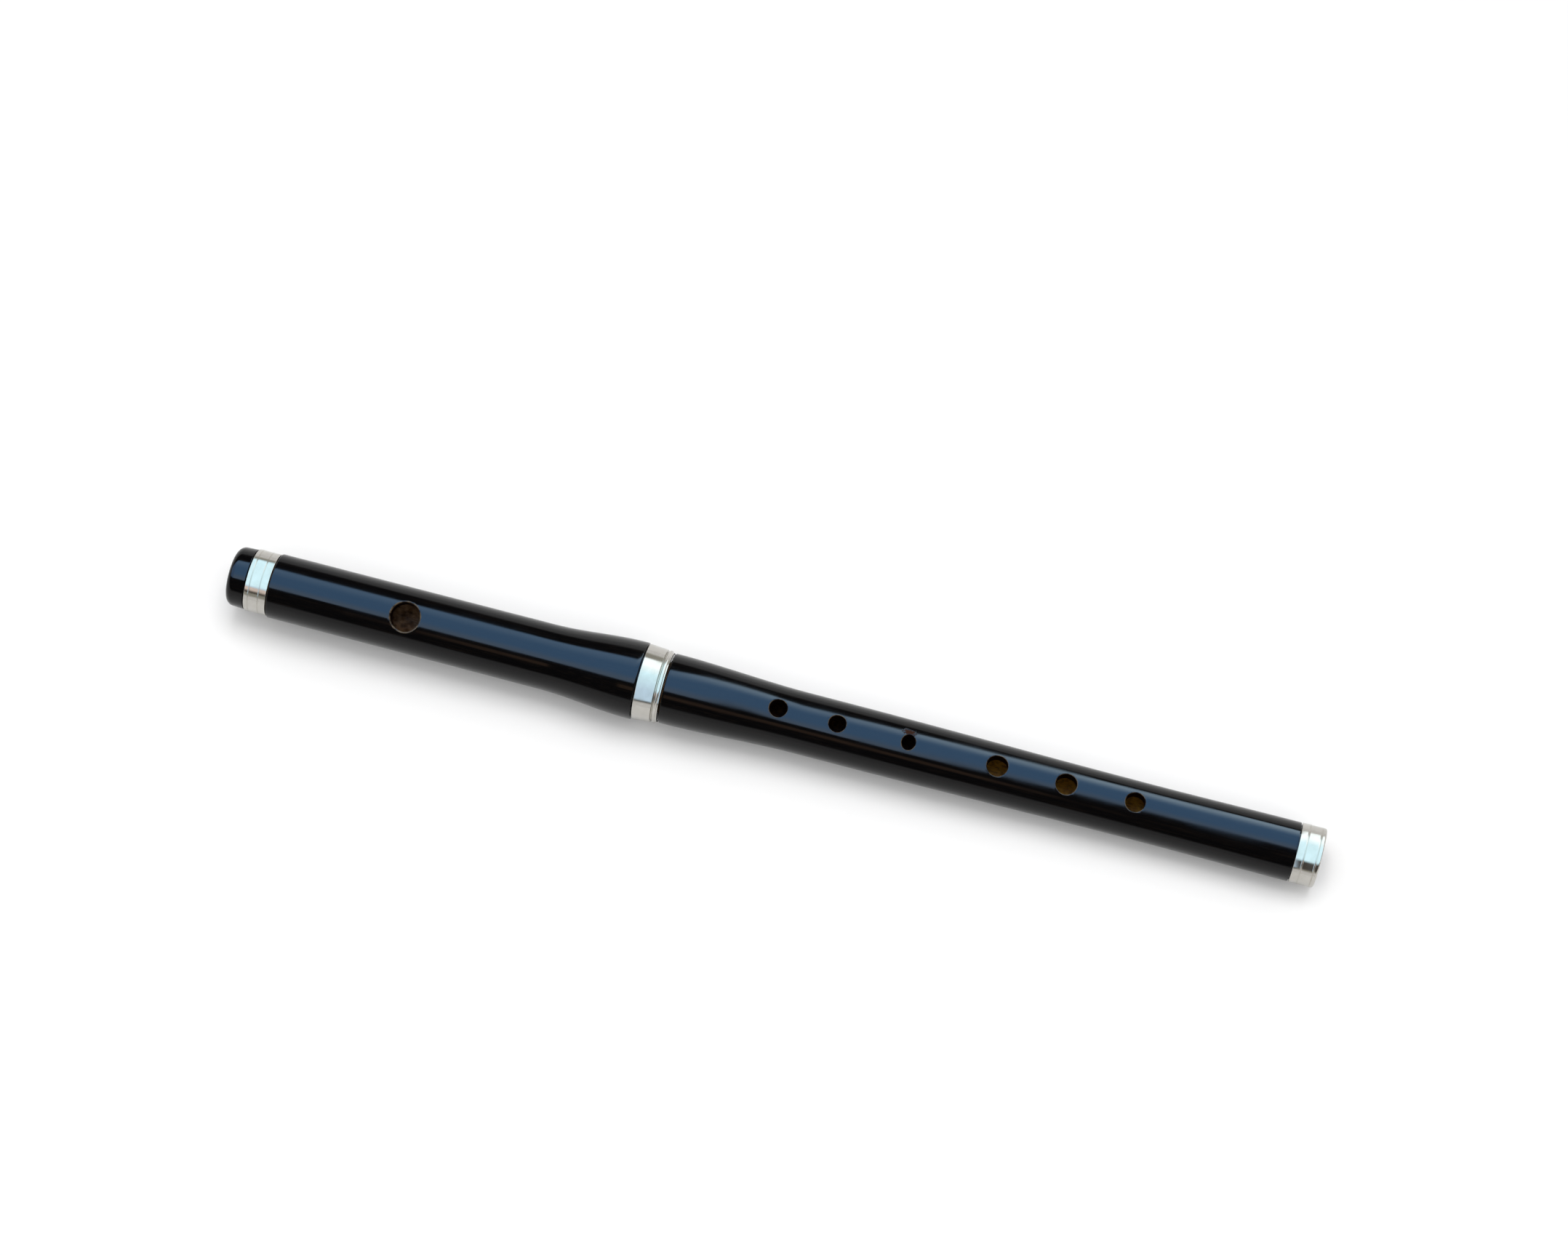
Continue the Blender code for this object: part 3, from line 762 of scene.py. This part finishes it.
def makeFloorFinish():
    # a plain pale sheet that turns to clean white away from the flute, in the camera and in reflections
    material, tree, shader = newMaterial("pale floor")
    setShader(tree, shader, Base_Color=floor["colour"], Roughness=1.0, Specular_IOR_Level=0.0)
    path = addNode(tree, "ShaderNodeLightPath").outputs
    seen = addMath(tree, "ADD", path["Is Camera Ray"], path["Is Glossy Ray"])
    seen = addMath(tree, "ADD", seen, path["Is Transmission Ray"])
    coords = addNode(tree, "ShaderNodeTexCoord").outputs["Object"]
    drawnIn = {"Vector": coords, "Scale": (1 / floor["longer"], 1, 1)}
    coords = addNode(tree, "ShaderNodeMapping", drawnIn).outputs[0]
    distance = addNode(tree, "ShaderNodeVectorMath", {0: coords}, operation="LENGTH").outputs["Value"]
    away = addRange(tree, distance, *floor["glowOver"], *floor["glow"], smooth=True)
    share = addMath(tree, "MULTIPLY", seen, away)
    white = addNode(tree, "ShaderNodeEmission").outputs[0]
    mixed = addNode(tree, "ShaderNodeMixShader", {0: share, 1: shader.outputs[0], 2: white})
    tree.links.new(mixed.outputs[0], tree.nodes["Material Output"].inputs["Surface"])
    return material


def addLamp(name, values, inDiffuse, radiance=(1, 1, 1), receivers=None):
    light = bpy.data.lights.new(name, "AREA")
    light.shape = "RECTANGLE"
    light.size = values["length"]
    light.size_y = values["width"]
    peak = max(radiance)
    light.color = [part / peak for part in radiance]
    light.energy = math.pi * values["length"] * values["width"] * peak
    lamp = bpy.data.objects.new(name, light)
    tilt = math.radians(values.get("tilt", 0))
    across = values.get("height", lampDistance) * Vector((0, -math.sin(tilt), math.cos(tilt)))
    lamp.location = across + Vector((values.get("shift", 0), 0, 0))
    lamp.rotation_euler = (tilt, 0, 0)
    lamp.visible_camera = False
    lamp.visible_diffuse = inDiffuse
    lamp.visible_glossy = not inDiffuse
    lamp.light_linking.receiver_collection = receivers
    bpy.context.scene.collection.objects.link(lamp)
    return light


def addReceivers(name, state):
    receivers = bpy.data.collections.new(name)
    for ring in rings:
        receivers.objects.link(ring)
    for item in receivers.collection_objects:
        item.light_linking.link_state = state
    return receivers


def lampPlace(tree):
    # where a lamp is hit: metres along the flute, and degrees over it from the player's side
    place = addNode(tree, "ShaderNodeNewGeometry").outputs["Position"]
    parts = addNode(tree, "ShaderNodeSeparateXYZ", {"Vector": place}).outputs
    forward = addMath(tree, "MULTIPLY", parts["Y"], -1.0)
    angle = addMath(tree, "DEGREES", addMath(tree, "ARCTAN2", parts["Z"], forward))
    return parts["X"], angle


def addSkyBox(receivers):
    light = addLamp("sky_box", skyBox, False, receivers=receivers)
    light.use_nodes = True
    tree = light.node_tree
    along, angle = lampPlace(tree)
    lower = addMath(tree, "SUBTRACT", angle, addRange(tree, along, *skyBox["lowerSpan"], 0, skyBox["lowerDrift"]))
    upper = addMath(tree, "SUBTRACT", angle, addRange(tree, along, *skyBox["upperSpan"], 0, skyBox["upperDrift"]))
    lowerSoft = addRange(tree, along, *skyBox["lowerSpan"], *skyBox["lowerSoft"])
    aboveLower = addMath(tree, "SUBTRACT", lower, skyBox["lower"])
    overLower = addMath(tree, "DIVIDE", aboveLower, lowerSoft)
    underUpper = addMath(tree, "SUBTRACT", upper, skyBox["upper"])
    mask = addMath(tree, "MULTIPLY",
                   addRange(tree, overLower, -1, 1, 0, 1, smooth=True),
                   addRange(tree, underUpper, -skyBox["upperSoft"], skyBox["upperSoft"], 1, 0, smooth=True))
    low = addRange(tree, aboveLower, *skyBox["lowGlow"], 0, skyBox["lowShare"], smooth=True)
    edge = addMath(tree, "MULTIPLY",
                   addRange(tree, underUpper, *skyBox["edgeGlow"], 0, 1, smooth=True),
                   addRange(tree, along, *skyBox["edgeSpan"], *skyBox["edgeShare"]))
    colour = mixColour(tree, edge, mixColour(tree, low, skyBox["core"], skyBox["grey"]), skyBox["bright"])
    colour = mixColour(tree, addRange(tree, along, *skyBox["farSpan"], 0, 1), colour, skyBox["far"])
    emission = tree.nodes["Emission"]
    tree.links.new(colour, emission.inputs["Color"])
    tree.links.new(mask, emission.inputs["Strength"])


def addWarmStrip(receivers):
    light = addLamp("warm_strip", warmStrip, False, warmStrip["radiance"], receivers)
    light.use_nodes = True
    tree = light.node_tree
    angle = lampPlace(tree)[1]
    first, last = warmStrip["angles"]
    soft = warmStrip["soft"]
    mask = addMath(tree, "MULTIPLY",
                   addRange(tree, angle, first - soft, first + soft, 0, 1, smooth=True),
                   addRange(tree, angle, last - soft, last + soft, 1, 0, smooth=True))
    tree.links.new(mask, tree.nodes["Emission"].inputs["Strength"])


def addStops(tree, share, stops):
    made = addNode(tree, "ShaderNodeValToRGB", {"Fac": share})
    ends = made.color_ramp.elements
    for element, (angle, name) in ((ends[0], stops[0]), (ends[1], stops[-1])):
        element.position = angle / ringCard["halfTurn"]
        element.color = ringCard[name]
    for angle, name in stops[1:-1]:
        made.color_ramp.elements.new(angle / ringCard["halfTurn"]).color = ringCard[name]
    return made.outputs[0]


def addRingCard(receivers):
    light = addLamp("ring_card", ringCard, False, receivers=receivers)
    light.use_nodes = True
    tree = light.node_tree
    along, angle = lampPlace(tree)
    share = addMath(tree, "DIVIDE", angle, ringCard["halfTurn"])
    colour = addStops(tree, share, ringCard["endRing"])
    for edge, ring in zip(ringCard["zones"], ("socketRing", "footRing")):
        past = addRange(tree, along, edge - ringCard["soft"], edge + ringCard["soft"], 0, 1)
        colour = mixColour(tree, past, colour, addStops(tree, share, ringCard[ring]))
    tree.links.new(colour, tree.nodes["Emission"].inputs["Color"])


def addWorld():
    # a white horizon that fades into a dim ceiling, the same for every kind of ray
    world = bpy.data.worlds.new("studio")
    world.use_nodes = True
    bpy.context.scene.world = world
    tree = world.node_tree
    coords = addNode(tree, "ShaderNodeTexCoord").outputs["Generated"]
    height = addNode(tree, "ShaderNodeSeparateXYZ", {"Vector": coords}).outputs["Z"]
    fade = addRange(tree, height, *studio["rise"], 0, 1, smooth=True)
    tree.links.new(mixColour(tree, fade, studio["horizon"], studio["ceiling"]), tree.nodes["Background"].inputs["Color"])


camera = {
    "location": (0.0876, -0.3069, 1.0614), "turn": (18.0, 0.0, 15.25), "lens": 90.9, "sensor": 36.0,
}


def addCamera():
    lensData = bpy.data.cameras.new("camera")
    lensData.lens = camera["lens"]
    lensData.sensor_fit = "HORIZONTAL"
    lensData.sensor_width = camera["sensor"]
    lensData.clip_start = 0.01
    lensData.clip_end = 100
    placed = bpy.data.objects.new("camera", lensData)
    placed.location = camera["location"]
    placed.rotation_euler = [math.radians(angle) for angle in camera["turn"]]
    bpy.context.scene.collection.objects.link(placed)
    bpy.context.scene.camera = placed


addFloor()
allButRings = addReceivers("all but the rings", "EXCLUDE")
addSkyBox(allButRings)
addWarmStrip(allButRings)
addRingCard(addReceivers("rings only", "INCLUDE"))
addLamp("key_lamp", keyLamp, True, keyLamp["radiance"])
addLamp("fill_lamp", fillLamp, True, fillLamp["radiance"])
addWorld()
addCamera()
bpy.context.scene.view_settings.view_transform = "Standard"
print("floor, light and camera placed")
